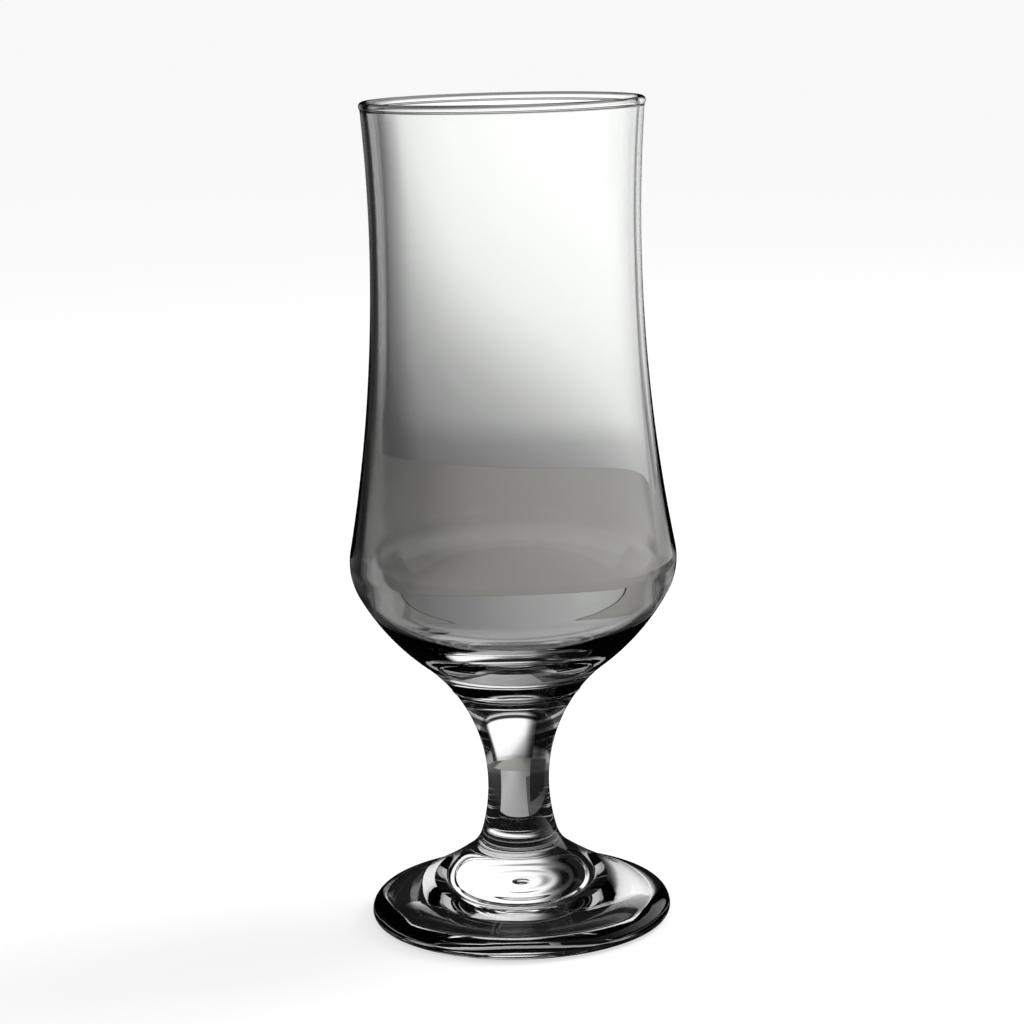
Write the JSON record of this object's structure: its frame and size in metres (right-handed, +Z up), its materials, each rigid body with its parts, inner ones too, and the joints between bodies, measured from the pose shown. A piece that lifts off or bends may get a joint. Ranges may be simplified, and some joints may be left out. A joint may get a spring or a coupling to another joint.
{
  "type": "stemmed beer glass",
  "caption": "Footed drinking glass: a tall waisted bowl with a rounded shoulder, fused to a short flared stem and a round foot.",
  "frame": {"origin": "centre of the ring that the glass stands on, at table level", "axes": "+Z runs up the glass's axis from the foot to the rim; the glass is round, so +X and +Y are alike"},
  "size_m": [0.076, 0.076, 0.192],
  "materials": {
    "blown_glass": "clear, fire-polished",
    "pressed_glass": "clear, pressed and fire-polished"
  },
  "bodies": {
    "root": {"bowl": "blown_glass", "stem": "pressed_glass", "foot": "pressed_glass"}
  },
  "joints": []
}
